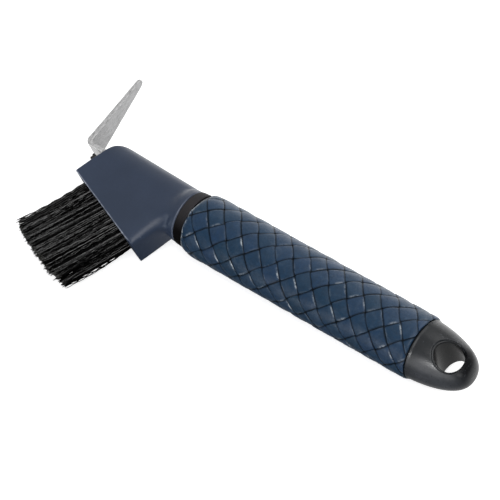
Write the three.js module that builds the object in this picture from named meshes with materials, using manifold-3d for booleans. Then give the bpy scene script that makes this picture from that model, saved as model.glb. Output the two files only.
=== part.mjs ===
// Hoof pick with brush: a plastic head with a steel pick and bristle tufts, a black collar,
// a grip sleeve over a hollow core, and an end cap with a hanging hole.
// Millimetres. The handle axis lies along X: x = 0 is the rear face of the neck, -X runs to the
// nose and +X to the end cap. The pick points to +Y, the brush faces -Y, and Z is sideways.
// At the end everything is centred in x and y, with its lowest point at z = 0.
import * as THREE from 'three';
import { mergeVertices } from 'three/addons/utils/BufferGeometryUtils.js';
import Module from 'manifold-3d';

const wasm = await Module();
wasm.setup();

// ---------------------------------------------------------------- shared dimensions
const GAP = 0.3;                 // assembly clearance between separate pieces
const HANDLE_SEGMENTS = 56;
const CAP_SEGMENTS = 72;

// head block; outline points are [x, y]
const HEAD_W = 18.0;             // width across the flat sides
const NOSE = [-57.7, -9.5];      // brush-face corner at the nose
const HEEL = [-11.6, -26.8];     // brush-face corner at the heel
const REAR_TOP = [-4.3, -8.0];   // where the rear face runs into the neck
const OUTLINE_END_X = -2.5;      // the block's outline ends here, inside the neck
const NOSE_R = 8.5;              // rounding between nose face and ridge
const NECK_R = 12.7;
const RIDGE_X = -3.0;            // the top ridge leaves the neck here ...
const RIDGE_Y = NECK_R;
const RIDGE_RISE = 0.033;        // ... and rises this much per mm towards the nose
const CROWN_FROM = 2.2;          // height where the sides start rounding over to the ridge
const CROWN_EXPONENT = 2.25;     // fullness of the rounded crown
const CROWN_BOTTOM = -40;        // clear below the head
const CROWN_FRONT = -70;         // clear in front of the nose
const SPIGOT_R = 7.0;            // spigot into the handle core
const SPIGOT_END = 32.0;

// brush
const ROWS = 3;
const COLUMNS = 7;
const TUFT_FIRST = 8.3;          // first tuft centre, along the brush face from the nose corner
const TUFT_PITCH = 5.33;
const ROW_PITCH = 5.6;
const TUFT_LEAN = 6.0;           // degrees the first column leans towards the nose
const TUFT_LEAN_STEP = 0.2;      // extra degrees of lean per column
const HOLE_R = 2.1;
const HOLE_DEPTH = 9.0;
const TUFT_ROOT_R = HOLE_R - GAP;
const TUFT_TIP_R = 2.4;
const TUFT_FREE = 36.5;          // mean free bristle length
const TUFT_VARIATION = 0.7;      // how far the length strays from the mean

// pick: a flat strip, bent up just in front of the nose and tapered to a rounded tip
const PICK_T = 2.0;              // strip thickness at the tip and in the tang
const PICK_HEEL_T = 2.7;         // thickness of the blade just above the bend
const PICK_BOTTOM = 4.7;         // underside of the lower leg
const PICK_TOP = PICK_BOTTOM + PICK_T;   // upper side of the lower leg
const PICK_BEND_X = -64.0;       // front face of the blade at the bend
const PICK_LEAN = 0.034;         // forward lean of the blade per mm of height
const PICK_TIP_Y = 46.2;
const PICK_TIP_CHAMFER = 1.0;    // height of the chamfers at the tip
const PICK_W = 14.5;             // strip width at the bend
const PICK_TIP_W = 3.9;          // width at the rounded tip
const TANG_W = 11.0;             // width inside the head
const TANG_END_X = -34.0;        // buried end of the tang
const SHOULDER_DEPTH = 4.0;      // the strip narrows to the tang this far behind the nose face
const BEND_R = 3.0;              // outside radius of the bend

// slot packing
const PACK_DEPTH = 3.2;
const PACK_BOTTOM = -0.8;
const PACK_TOP = PICK_BOTTOM - GAP;
const PACK_W = PICK_W - 0.3;

// handle
const COLLAR_FACE = 5.1;         // rear end of the visible part of the collar
const COLLAR_FRONT_R = 13.0;
const COLLAR_REAR_R = 13.3;
const COLLAR_END = 9.0;
const SEAT_R = 11.5;             // outside of the core and of the parts inside the sleeve
const BORE_R = SPIGOT_R + GAP;
const CORE_START = COLLAR_END + GAP;
const CORE_END = 120.0;
const GRIP_START = COLLAR_FACE + GAP;
const GRIP_R = 15.0;
const GRIP_FRONT_R = 13.8;
const GRIP_BORE_R = SEAT_R + GAP;
const GRIP_END = 128.2;

// end cap: radius = CAP_R * (1 - t^CAP_POWER_IN)^CAP_POWER_OUT, t from 0 at CAP_CURVE_X to 1
const CAP_FACE = GRIP_END + GAP;
const CAP_END = 154.9;
const CAP_R = 14.01;
const CAP_CURVE_X = 126.75;
const CAP_POWER_IN = 1.735;
const CAP_POWER_OUT = 0.37;
const PLUG_START = 104.0;
const EYE_X = 144.0;             // hanging hole centre
const EYE_R = 6.3;
const EYE_RIM_R = 7.3;
const EYE_RIM_DEPTH = 0.9;

// ---------------------------------------------------------------- solids and meshes
const AXIS_Z = new THREE.Vector3(0, 0, 1);
// turns the lathe's Y axis onto X
const LATHE_TO_X = new THREE.Matrix4().makeBasis(
  new THREE.Vector3(0, 0, 1), new THREE.Vector3(1, 0, 0), new THREE.Vector3(0, 1, 0));
// turns an outline into the YZ plane, extruded along X
const EXTRUDE_TO_X = new THREE.Matrix4().makeBasis(
  new THREE.Vector3(0, 1, 0), new THREE.Vector3(0, 0, 1), new THREE.Vector3(1, 0, 0));

// weld a geometry, drop collapsed triangles and make it face outwards
function toSolid(geometry) {
  geometry.deleteAttribute('normal');
  geometry.deleteAttribute('uv');
  const welded = mergeVertices(geometry, 1e-4);
  const position = welded.attributes.position;
  const index = welded.index.array;
  const triangles = [];
  let signedVolume = 0;
  for (let i = 0; i < index.length; i += 3) {
    const corners = [index[i], index[i + 1], index[i + 2]];
    if (new Set(corners).size < 3) continue;
    triangles.push(...corners);
    const [first, second, third] =
      corners.map((corner) => new THREE.Vector3().fromBufferAttribute(position, corner));
    signedVolume += first.dot(second.cross(third));
  }
  if (signedVolume < 0) triangles.reverse();
  return new wasm.Manifold(new wasm.Mesh({
    numProp: 3,
    vertProperties: new Float32Array(position.array),
    triVerts: new Uint32Array(triangles),
  }));
}

function toGeometry(solid) {
  const { vertProperties, triVerts } = solid.getMesh();
  const geometry = new THREE.BufferGeometry();
  geometry.setAttribute('position', new THREE.Float32BufferAttribute(vertProperties, 3));
  geometry.setIndex(new THREE.Uint32BufferAttribute(triVerts, 1));
  geometry.computeVertexNormals();
  return geometry;
}

// profile points are [distance along the axis, radius]
const revolve = (profile, segments) => new THREE.LatheGeometry(
  profile.map(([along, radius]) => new THREE.Vector2(radius, along)), segments);

const latheX = (profile, segments = HANDLE_SEGMENTS) =>
  toSolid(revolve(profile, segments).applyMatrix4(LATHE_TO_X));

const extrude = (outline, depth) => new THREE.ExtrudeGeometry(
  new THREE.Shape(outline.map(([x, y]) => new THREE.Vector2(x, y))),
  { depth, bevelEnabled: false });

// [x, y] outline, extruded sideways and centred on z = 0
const slabXY = (outline, width) => toSolid(extrude(outline, width).translate(0, 0, -width / 2));

// [y, z] outline, extruded from x0 to x1
const extrudeAlongX = (outline, x0, x1) =>
  extrude(outline, x1 - x0).applyMatrix4(EXTRUDE_TO_X).translate(x0, 0, 0);

const block = ([x0, x1], [y0, y1], [z0, z1]) => toSolid(
  new THREE.BoxGeometry(x1 - x0, y1 - y0, z1 - z0)
    .translate((x0 + x1) / 2, (y0 + y1) / 2, (z0 + z1) / 2));

const arc = (centreX, centreY, radius, from, to, steps) =>
  Array.from({ length: steps + 1 }, (_, i) => {
    const angle = from + (to - from) * i / steps;
    return [centreX + radius * Math.cos(angle), centreY + radius * Math.sin(angle)];
  });

// arc that rounds the corner between the points before and after it
function fillet(before, corner, after, radius, steps) {
  const vertex = new THREE.Vector2(...corner);
  const toBefore = new THREE.Vector2(...before).sub(vertex).normalize();
  const toAfter = new THREE.Vector2(...after).sub(vertex).normalize();
  const halfAngle = Math.acos(toBefore.dot(toAfter)) / 2;
  const bisector = toBefore.clone().add(toAfter).normalize();
  const centre = vertex.clone().addScaledVector(bisector, radius / Math.sin(halfAngle));
  const tangentLength = radius / Math.tan(halfAngle);
  const [from, to] = [toBefore, toAfter].map((direction) => {
    const touch = vertex.clone().addScaledVector(direction, tangentLength).sub(centre);
    return Math.atan2(touch.y, touch.x);
  });
  return arc(centre.x, centre.y, radius, from, to, steps);
}

// ---------------------------------------------------------------- brush face and nose face
const faceDir = new THREE.Vector2(HEEL[0] - NOSE[0], HEEL[1] - NOSE[1]).normalize();
const faceNormal = new THREE.Vector3(faceDir.y, -faceDir.x, 0);   // out of the brush face
// the nose face is square to the brush face
const noseSlope = faceNormal.x / faceNormal.y;
const noseAt = (y) => NOSE[0] + noseSlope * (y - NOSE[1]);
const shoulderX = noseAt(PICK_BOTTOM) + SHOULDER_DEPTH;

// ---------------------------------------------------------------- tufts
const tufts = [];
for (let row = 0; row < ROWS; row++) {
  for (let column = 0; column < COLUMNS; column++) {
    tufts.push({
      row,
      column,
      along: TUFT_FIRST + TUFT_PITCH * column,
      z: ROW_PITCH * (row - (ROWS - 1) / 2),
      length: TUFT_FREE + TUFT_VARIATION * Math.sin(2.1 * column + 1.7 * row),
    });
  }
}

// body turned about a tuft's axis; profile is [distance out of the brush face, radius]
function alongTuft(profile, segments, tuft) {
  const lean = THREE.MathUtils.degToRad(-TUFT_LEAN - TUFT_LEAN_STEP * tuft.column);
  const axis = faceNormal.clone().applyAxisAngle(AXIS_Z, lean);
  const across = new THREE.Vector3().crossVectors(axis, AXIS_Z);
  return toSolid(revolve(profile, segments)
    .applyMatrix4(new THREE.Matrix4().makeBasis(across, axis, AXIS_Z))
    .translate(NOSE[0] + faceDir.x * tuft.along, NOSE[1] + faceDir.y * tuft.along, tuft.z));
}

const makeTuftHole = (tuft) => alongTuft(
  [[-HOLE_DEPTH, 0], [-HOLE_DEPTH, HOLE_R], [3, HOLE_R], [3, 0]], 14, tuft);

const makeTuft = (tuft) => alongTuft([
  [-HOLE_DEPTH + GAP, 0], [-HOLE_DEPTH + GAP, TUFT_ROOT_R],
  [0.6, TUFT_ROOT_R], [10, TUFT_ROOT_R + 0.35],
  [tuft.length - 1.0, TUFT_TIP_R], [tuft.length, TUFT_TIP_R - 0.5], [tuft.length, 0],
], 10, tuft);

// ---------------------------------------------------------------- slot packing
// Fills the slot under the strip in the nose. Its front stands proud of the nose face by:
const PACK_FRONT = [
  // [height above its bottom, distance in front of the nose face]
  [0, 1.3], [1.4, 1.7], [2.5, 1.9], [3.0, 0.5],
];
const PACK_TOP_PROUD = 0.25;

const makePacking = () => slabXY([
  [noseAt(PACK_BOTTOM) + PACK_DEPTH, PACK_BOTTOM],
  ...PACK_FRONT.map(([height, proud]) =>
    [noseAt(PACK_BOTTOM + height) - proud, PACK_BOTTOM + height]),
  [noseAt(PACK_TOP) - PACK_TOP_PROUD, PACK_TOP],
  [noseAt(PACK_TOP) + PACK_DEPTH, PACK_TOP],
], PACK_W);

// pocket for the packing, open to the front and overlapping the pick slot above
function makePackingPocket() {
  const bottom = PACK_BOTTOM - GAP;
  const top = PACK_TOP + 0.01;
  const back = PACK_DEPTH + GAP;
  const front = -6;
  return slabXY([
    [noseAt(bottom) + back, bottom], [noseAt(bottom) + front, bottom],
    [noseAt(top) + front, top], [noseAt(top) + back, top],
  ], PACK_W + 2 * GAP);
}

// ---------------------------------------------------------------- head block
const ridgeAt = (x) => RIDGE_Y - RIDGE_RISE * (x - RIDGE_X);

function headOutline() {
  // corner where the nose face would meet the ridge
  const cornerX = (NOSE[0] + noseSlope * (ridgeAt(0) - NOSE[1])) / (1 + noseSlope * RIDGE_RISE);
  const top = [OUTLINE_END_X, ridgeAt(OUTLINE_END_X)];
  return [NOSE, HEEL, REAR_TOP, [OUTLINE_END_X, REAR_TOP[1]], top,
    ...fillet(top, [cornerX, ridgeAt(cornerX)], NOSE, NOSE_R, 14)];
}

// [y, z] section: flat sides under a superelliptic crown
function crownSection() {
  const height = RIDGE_Y - CROWN_FROM;
  const halfWidth = HEAD_W / 2;
  const power = 2 / CROWN_EXPONENT;
  const steps = 28;
  const section = [[CROWN_BOTTOM, -halfWidth]];
  for (let i = 0; i <= steps; i++) {
    const angle = -Math.PI / 2 + Math.PI * i / steps;
    const sine = Math.sin(angle);
    section.push([
      CROWN_FROM + height * Math.pow(Math.cos(angle), power),
      halfWidth * Math.sign(sine) * Math.pow(Math.abs(sine), power),
    ]);
  }
  section.push([CROWN_BOTTOM, halfWidth]);
  return section;
}

function makeCrown() {
  // sheared so that it follows the ridge up towards the nose
  const shear = new THREE.Matrix4().set(
    1, 0, 0, 0,
    -RIDGE_RISE, 1, 0, RIDGE_RISE * RIDGE_X,
    0, 0, 1, 0,
    0, 0, 0, 1);
  return toSolid(extrudeAlongX(crownSection(), CROWN_FRONT, 0).applyMatrix4(shear));
}

const makeNeckAndSpigot = () => latheX([
  [-13, 0], [-13, 7.6], [-10, 8.75], [-8.2, 9.3], [-6.9, 10.0], [-5.8, 10.9], [-4.7, 11.9],
  [-3.4, 12.5], [-2.0, NECK_R], [0, NECK_R], [0, SPIGOT_R],
  [SPIGOT_END - 1, SPIGOT_R], [SPIGOT_END, SPIGOT_R - 1], [SPIGOT_END, 0],
]);

function makeHead() {
  let head = slabXY(headOutline(), HEAD_W).intersect(makeCrown()).add(makeNeckAndSpigot());
  for (const tuft of tufts) head = head.subtract(makeTuftHole(tuft));
  // slot for the strip, then for its narrower tang
  const slotY = [PICK_BOTTOM - GAP, PICK_TOP + GAP];
  const slotZ = (width) => [-width / 2 - GAP, width / 2 + GAP];
  return head
    .subtract(block([-70, shoulderX + GAP], slotY, slotZ(PICK_W)))
    .subtract(block([shoulderX, TANG_END_X + GAP], slotY, slotZ(TANG_W)))
    .subtract(makePackingPocket());
}

// ---------------------------------------------------------------- pick
const bladeX = (y) => PICK_BEND_X - PICK_LEAN * (y - PICK_BOTTOM);

// [x, y] side view: tang, outside of the bend, up to the tip, back down to the inside
function pickSide() {
  const chamferY = PICK_TIP_Y - PICK_TIP_CHAMFER;
  const innerR = BEND_R - PICK_T;
  return [
    [TANG_END_X, PICK_TOP],
    [TANG_END_X, PICK_BOTTOM],
    ...arc(PICK_BEND_X + BEND_R, PICK_BOTTOM + BEND_R, BEND_R, -Math.PI / 2, -Math.PI, 8),
    [bladeX(chamferY), chamferY],
    [bladeX(PICK_TIP_Y) + 0.5, PICK_TIP_Y],
    [bladeX(PICK_TIP_Y) + PICK_T - 0.6, PICK_TIP_Y],
    [bladeX(chamferY) + PICK_T, chamferY],
    ...arc(PICK_BEND_X + PICK_HEEL_T + innerR, PICK_TOP + innerR, innerR,
      -Math.PI, -Math.PI / 2, 4),
  ];
}

// [y, z] front view: straight at the bend, then tapering to the round tip
function pickFront() {
  const tipR = PICK_TIP_W / 2;
  const tipAngle = Math.PI / 2 - 0.15;
  const low = PICK_BOTTOM - 2;
  const taperStart = PICK_BOTTOM + 3.0;
  return [
    [low, -PICK_W / 2], [taperStart, -PICK_W / 2],
    ...arc(PICK_TIP_Y - tipR, 0, tipR, -tipAngle, tipAngle, 10),
    [taperStart, PICK_W / 2], [low, PICK_W / 2],
  ];
}

function makePick() {
  const front = toSolid(extrudeAlongX(pickFront(), -70, TANG_END_X + 1));
  let pick = slabXY(pickSide(), PICK_W).intersect(front);
  // shoulders: trim both edges down to the tang's width
  const trimX = [shoulderX, shoulderX + 30];
  const trimY = [PICK_BOTTOM - 2, PICK_TOP + 2];
  const inner = TANG_W / 2;
  const outer = inner + 4;
  for (const trimZ of [[-outer, -inner], [inner, outer]]) {
    pick = pick.subtract(block(trimX, trimY, trimZ));
  }
  return pick;
}

// ---------------------------------------------------------------- handle
const makeCollar = () => latheX([
  [GAP, BORE_R], [GAP, COLLAR_FRONT_R - 0.5], [GAP + 0.5, COLLAR_FRONT_R],
  [COLLAR_FACE - 0.4, COLLAR_REAR_R], [COLLAR_FACE, COLLAR_REAR_R - 0.4],
  [COLLAR_FACE, SEAT_R], [COLLAR_END, SEAT_R], [COLLAR_END, BORE_R], [GAP, BORE_R],
]);

const makeCore = () => latheX([
  [CORE_START, BORE_R], [CORE_START, SEAT_R], [CORE_END, SEAT_R], [CORE_END, BORE_R],
  [CORE_START, BORE_R],
]);

const makeSleeve = () => latheX([
  [GRIP_START, GRIP_BORE_R], [GRIP_START, GRIP_FRONT_R - 0.6],
  [GRIP_START + 0.5, GRIP_FRONT_R], [GRIP_START + 1.8, GRIP_FRONT_R + 0.65],
  [GRIP_START + 3.6, GRIP_R - 0.2], [GRIP_START + 5.6, GRIP_R],
  [50, GRIP_R], [90, GRIP_R],
  [GRIP_END - 3, GRIP_R], [GRIP_END - 0.8, GRIP_R - 0.15], [GRIP_END, GRIP_R - 0.8],
  [GRIP_END, GRIP_BORE_R], [50, GRIP_BORE_R], [GRIP_START, GRIP_BORE_R],
]);

// ---------------------------------------------------------------- end cap
// distances behind the cap's front face where its curve is sampled
const CAP_STATIONS = [
  0, 2, 4.5, 7, 9.5, 12, 14.5, 17, 19, 21, 22.6, 24, 25, 25.7, 26.1, 26.32,
];

function capRadius(x) {
  const t = (x - CAP_CURVE_X) / (CAP_END - CAP_CURVE_X);
  return CAP_R * Math.pow(1 - Math.pow(t, CAP_POWER_IN), CAP_POWER_OUT);
}

const eyeCylinder = (radius) => toSolid(
  new THREE.CylinderGeometry(radius, radius, 60, 40).rotateX(Math.PI / 2).translate(EYE_X, 0, 0));

function makeCap() {
  const curve = CAP_STATIONS.map((distance) => {
    const x = CAP_FACE + distance;
    return [x, capRadius(x)];
  });
  const faceR = capRadius(CAP_FACE);
  const body = latheX([
    [PLUG_START, 0], [PLUG_START, SPIGOT_R - 0.8], [PLUG_START + 1, SPIGOT_R],
    [CORE_END + GAP, SPIGOT_R], [CORE_END + GAP, SEAT_R], [CAP_FACE, SEAT_R],
    [CAP_FACE, faceR - 0.5], [CAP_FACE + 0.5, capRadius(CAP_FACE + 0.5)],
    ...curve.slice(1), [CAP_END, 0],
  ], CAP_SEGMENTS);
  // the cap's surface sunk by the rim depth: the floor of the rim round each mouth of the hole
  const rimFloor = latheX([
    [CAP_FACE - 2, 0], [CAP_FACE - 2, faceR - EYE_RIM_DEPTH],
    ...curve.map(([x, radius]) => [x, radius - EYE_RIM_DEPTH]),
    [CAP_END - EYE_RIM_DEPTH, 0],
  ], CAP_SEGMENTS);
  return body.subtract(eyeCylinder(EYE_RIM_R).subtract(rimFloor)).subtract(eyeCylinder(EYE_R));
}

// ---------------------------------------------------------------- materials
const plastic = (color, roughness) =>
  new THREE.MeshStandardMaterial({ color, roughness, metalness: 0 });
const MATERIALS = {
  navy: () => plastic('#3c4558', 0.42),
  steel: () => new THREE.MeshStandardMaterial({
    color: '#a8a8a6', roughness: 0.38, metalness: 0.9 }),
  black: () => plastic('#17171a', 0.5),
  bristle: () => plastic('#0e0e10', 0.6),
  grip: () => plastic('#2e4261', 0.5),
  cap: () => plastic('#35383c', 0.48),
};

// ---------------------------------------------------------------- assembly
const group = new THREE.Group();
group.name = 'hoof_pick';

function addPart(name, solid, material) {
  const mesh = new THREE.Mesh(toGeometry(solid), material);
  mesh.name = name;
  group.add(mesh);
}

addPart('head_block', makeHead(), MATERIALS.navy());
addPart('pick', makePick(), MATERIALS.steel());
addPart('slot_packing', makePacking(), MATERIALS.black());
for (const tuft of tufts) {
  const name = `tuft_row${tuft.row + 1}_${tuft.column + 1}`;
  addPart(name, makeTuft(tuft), MATERIALS.bristle());
}
addPart('collar', makeCollar(), MATERIALS.black());
addPart('handle_core', makeCore(), MATERIALS.black());
addPart('grip_sleeve', makeSleeve(), MATERIALS.grip());
addPart('end_cap', makeCap(), MATERIALS.cap());

// move the geometry, so that every mesh keeps its own origin at zero
const bounds = new THREE.Box3().setFromObject(group);
const centre = bounds.getCenter(new THREE.Vector3());
for (const mesh of group.children) {
  mesh.geometry.translate(-centre.x, -centre.y, -bounds.min.z);
}
// drop the bounds kept from before the move
for (const mesh of group.children) mesh.geometry.computeBoundingBox();

export default group;
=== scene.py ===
# A hand brush lying on its side on the floor: a plastic head with 21 bristle tufts and a bent
# steel pick, a collar, a woven grip and an end cap with a hanging hole. The handle runs along X
# with the head at the -X end. The bristles point to -Y, the pick to +Y, and Z is up.
import math
import random

import bmesh
import bpy
import numpy as np
from mathutils import Matrix, Vector


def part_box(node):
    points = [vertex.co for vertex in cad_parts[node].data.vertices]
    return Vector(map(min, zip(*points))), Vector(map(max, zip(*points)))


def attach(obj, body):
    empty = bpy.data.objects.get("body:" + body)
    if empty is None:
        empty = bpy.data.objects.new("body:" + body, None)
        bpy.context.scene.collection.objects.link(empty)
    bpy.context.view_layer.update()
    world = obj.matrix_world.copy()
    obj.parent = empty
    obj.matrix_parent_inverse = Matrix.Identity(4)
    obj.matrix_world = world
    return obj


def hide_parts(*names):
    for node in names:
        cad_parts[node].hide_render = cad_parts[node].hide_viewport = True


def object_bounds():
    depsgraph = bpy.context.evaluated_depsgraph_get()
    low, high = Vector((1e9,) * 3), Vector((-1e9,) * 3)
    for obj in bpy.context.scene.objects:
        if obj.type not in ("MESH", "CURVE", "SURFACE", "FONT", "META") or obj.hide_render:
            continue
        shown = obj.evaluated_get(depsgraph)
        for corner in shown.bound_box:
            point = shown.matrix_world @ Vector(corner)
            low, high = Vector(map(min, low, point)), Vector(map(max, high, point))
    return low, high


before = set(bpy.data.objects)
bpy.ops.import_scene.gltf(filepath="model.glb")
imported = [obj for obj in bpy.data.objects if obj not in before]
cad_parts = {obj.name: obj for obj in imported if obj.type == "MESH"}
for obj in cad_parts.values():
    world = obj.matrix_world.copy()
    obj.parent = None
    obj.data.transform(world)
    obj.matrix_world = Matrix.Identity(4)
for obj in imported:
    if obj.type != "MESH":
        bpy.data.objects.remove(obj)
CAD_LO, CAD_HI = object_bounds()
rng = random.Random(20611)               # bristles
weave_rng = np.random.default_rng(20611)

# ------------------------------------------------------------------ working frame
# Pieces are modelled in millimetres about the handle axis: x = 0 at the front of the collar,
# y = z = 0 on the axis. finish_piece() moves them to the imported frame, in metres.
COLLAR_X0, COLLAR_X1 = 0.3, 5.1
collar_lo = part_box("collar")[0]
grip_lo, grip_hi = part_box("grip_sleeve")
ORG = Vector((collar_lo.x - COLLAR_X0 / 1000,
              (grip_lo.y + grip_hi.y) / 2,
              (grip_lo.z + grip_hi.z) / 2))
ORG_X, ORG_Y, ORG_Z = (v * 1000 for v in ORG)     # the same point in mm, for the textures


def working_x(point):
    """x of a packed-frame point in the working frame, in mm"""
    return ((Vector(point) - ORG) * 1000.0).x


GRIP_R = (grip_hi.z - grip_lo.z) * 500.0
GRIP_X0, GRIP_X1 = working_x(grip_lo), working_x(grip_hi)
CAP_END = working_x(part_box("end_cap")[1])
SPIGOT_R = 7.0             # pegs of the head and the cap that run inside the handle
SHOULDER_R = 11.5          # steps of the collar and the cap under the grip
EYE_X, EYE_R = 144.0, 6.3  # hanging hole through the cap

# Head, as (x, y) corners of its side view
HEAD_W = 18.0
NOSE, HEEL, REAR_TOP = (-57.7, -9.5), (-11.6, -26.8), (-4.3, -8.0)
NOSE_R, NECK_R, NECK_X = 8.5, 12.7, -1.5
RIDGE_X, RIDGE_Y, RIDGE_RISE = -3.0, 12.7, 0.033      # top line: a point on it and its slope
CROWN_FROM, CROWN_EXP = 2.2, 2.25                     # superellipse over the top
FACE_LEN = math.dist(HEEL, NOSE)
FACE_X, FACE_Y = (HEEL[0] - NOSE[0]) / FACE_LEN, (HEEL[1] - NOSE[1]) / FACE_LEN
OUT_X, OUT_Y = FACE_Y, -FACE_X                        # outward from the brush face

# Tufts: rows across the head, columns from nose to heel, leans in degrees
ROWS, COLS = 3, 7
TUFT_FIRST, TUFT_PITCH, ROW_PITCH = 8.3, 5.33, 5.6
TUFT_LEAN, TUFT_LEAN_STEP = 6.0, 0.2
HOLE_R, HOLE_DEPTH, TUFT_FREE = 2.1, 9.0, 36.5

# Pick: a strip that leaves the nose along -x and bends up toward +y
PICK_T, PICK_HEEL_T = 2.0, 2.7
PICK_Y0, PICK_TIP_Y = 4.7, 46.2
PICK_BEND_X, BEND_R, PICK_LEAN = -64.0, 3.0, 0.034
PICK_W, PICK_TIP_W = 14.5, 3.9
PICK_TANG_W, PICK_TANG_X = 11.0, -34.0
SLOT_GAP = 0.25
PACK_R = 0.3               # the slot and the tang pocket are this much longer or wider

# Weave: eight straps each way. One cell step is (PITCH_X, arc step).
STRAPS = 8
PITCH_X = 5.31
WEAVE_R = 15.0
STEP_A = 6.55
STEP_B = STEP_A - 2 * math.pi * WEAVE_R / STRAPS
CROSSING = (39.3, 18.24)   # one crossing point of the seams, as (x, arc length)
STRAP_HALF = 0.5 * 0.972   # half width, in cells
WAVE, THICK = 0.29, 0.62   # rise over a crossing, strap thickness

SIDE = Vector((0, 0, 1))
FACE_DIR = Vector((FACE_X, FACE_Y, 0))


def ridge_y(x):
    return RIDGE_Y - RIDGE_RISE * (x - RIDGE_X)


def nose_x(y):
    """x of the nose face at height y"""
    return NOSE[0] + OUT_X / OUT_Y * (y - NOSE[1])


def tuft_places():
    """row, column, root on the brush face, direction out, direction across it"""
    for row in range(ROWS):
        for col in range(COLS):
            along = TUFT_FIRST + TUFT_PITCH * col
            root = Vector((NOSE[0] + FACE_X * along, NOSE[1] + FACE_Y * along,
                           ROW_PITCH * (row - 1)))
            lean = math.radians(-TUFT_LEAN - TUFT_LEAN_STEP * col)
            out = Vector((OUT_X * math.cos(lean) - OUT_Y * math.sin(lean),
                          OUT_X * math.sin(lean) + OUT_Y * math.cos(lean), 0))
            yield row, col, root, out, out.cross(SIDE)


# ------------------------------------------------------------------ mesh helpers
def link_mesh(name, mesh):
    ob = bpy.data.objects.new(name, mesh)
    bpy.context.scene.collection.objects.link(ob)
    return ob


def new_mesh(name, verts, faces):
    mesh = bpy.data.meshes.new(name)
    mesh.from_pydata([tuple(map(float, v)) for v in verts], [],
                     [tuple(int(i) for i in f) for f in faces])
    mesh.update()
    return link_mesh(name, mesh)


def fix_normals(ob):
    bm = bmesh.new()
    bm.from_mesh(ob.data)
    bmesh.ops.remove_doubles(bm, verts=bm.verts, dist=1e-4)
    bmesh.ops.recalc_face_normals(bm, faces=bm.faces)
    bm.to_mesh(ob.data)
    bm.free()
    return ob


def apply_mods(ob):
    depsgraph = bpy.context.evaluated_depsgraph_get()
    mesh = bpy.data.meshes.new_from_object(ob.evaluated_get(depsgraph))
    ob.modifiers.clear()
    old = ob.data
    ob.data = mesh
    bpy.data.meshes.remove(old)


def boolean(ob, tool, operation):
    """apply the tool to ob, then delete the tool"""
    mod = ob.modifiers.new("b", "BOOLEAN")
    mod.operation = operation
    mod.object = tool
    mod.solver = "EXACT"
    apply_mods(ob)
    mesh = tool.data
    bpy.data.objects.remove(tool)
    bpy.data.meshes.remove(mesh)


def remesh(ob, voxel, rounds):
    mod = ob.modifiers.new("r", "REMESH")
    mod.mode = "VOXEL"
    mod.voxel_size = voxel
    mod.adaptivity = 0.0
    smooth = ob.modifiers.new("s", "SMOOTH")
    smooth.factor = 0.5
    smooth.iterations = rounds
    apply_mods(ob)


def get_verts(ob):
    co = np.empty(len(ob.data.vertices) * 3, np.float32)
    ob.data.vertices.foreach_get("co", co)
    return co.reshape(-1, 3)


def set_verts(ob, co):
    ob.data.vertices.foreach_set("co", co.astype(np.float32).ravel())
    ob.data.update()


def add_floats(ob, **layers):
    """one float attribute on the vertices per keyword"""
    for name, values in layers.items():
        layer = ob.data.attributes.new(name, "FLOAT", "POINT")
        layer.data.foreach_set("value", np.asarray(values, np.float32).ravel())


def soften(ob, weight, rounds):
    """smooth only where weight is above zero"""
    edges = np.empty(len(ob.data.edges) * 2, np.int32)
    ob.data.edges.foreach_get("vertices", edges)
    edges = edges.reshape(-1, 2)
    weight = np.asarray(weight, np.float64)
    edges = edges[(weight[edges[:, 0]] > 0.002) | (weight[edges[:, 1]] > 0.002)]
    ids = np.unique(edges)
    count = len(ids)
    local = np.full(len(weight), -1)
    local[ids] = np.arange(count)
    i, j = local[edges[:, 0]], local[edges[:, 1]]
    co = get_verts(ob).astype(np.float64)
    pts = co[ids]
    pull = weight[ids][:, None] * 0.6
    degree = (np.bincount(i, minlength=count) + np.bincount(j, minlength=count))[:, None]
    for _ in range(rounds):
        mean = np.stack([np.bincount(i, pts[j, k], minlength=count)
                         + np.bincount(j, pts[i, k], minlength=count)
                         for k in range(3)], 1) / degree
        pts = pts + (mean - pts) * pull
    co[ids] = pts
    set_verts(ob, co)


def finish_piece(ob, node, material):
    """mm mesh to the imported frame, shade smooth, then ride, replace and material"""
    mesh = ob.data
    mesh.transform(Matrix.Translation(ORG) @ Matrix.Scale(0.001, 4))
    mesh.polygons.foreach_set("use_smooth", [True] * len(mesh.polygons))
    mesh.update()
    mesh.materials.clear()
    mesh.materials.append(material)
    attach(ob, "root")
    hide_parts(node)
    return ob


def fillet(before, corner, after, radius, steps):
    """points of the arc that rounds a corner"""
    a = Vector(before) - Vector(corner)
    b = Vector(after) - Vector(corner)
    a.normalize()
    b.normalize()
    half = a.angle(b) / 2
    centre = Vector(corner) + (a + b).normalized() * (radius / math.sin(half))
    tangent = radius / math.tan(half)
    start, end = Vector(corner) + a * tangent, Vector(corner) + b * tangent
    a0 = math.atan2(start.y - centre.y, start.x - centre.x)
    a1 = math.atan2(end.y - centre.y, end.x - centre.x)
    while a1 - a0 > math.pi:
        a1 -= 2 * math.pi
    while a1 - a0 < -math.pi:
        a1 += 2 * math.pi
    angles = [a0 + (a1 - a0) * i / steps for i in range(steps + 1)]
    return [(centre.x + radius * math.cos(t), centre.y + radius * math.sin(t)) for t in angles]


def ring(start, count):
    return tuple(range(start, start + count))


def ring_quads(a, b, count, flipped=False):
    """quads between the rings of vertices that start at a and b"""
    pairs = [(k, (k + 1) % count) for k in range(count)]
    if flipped:
        return [(a + k, b + k, b + n, a + n) for k, n in pairs]
    return [(a + k, a + n, b + n, b + k) for k, n in pairs]


def rect(x0, y0, x1, y1):
    return [(x0, y0), (x1, y0), (x1, y1), (x0, y1)]


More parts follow.
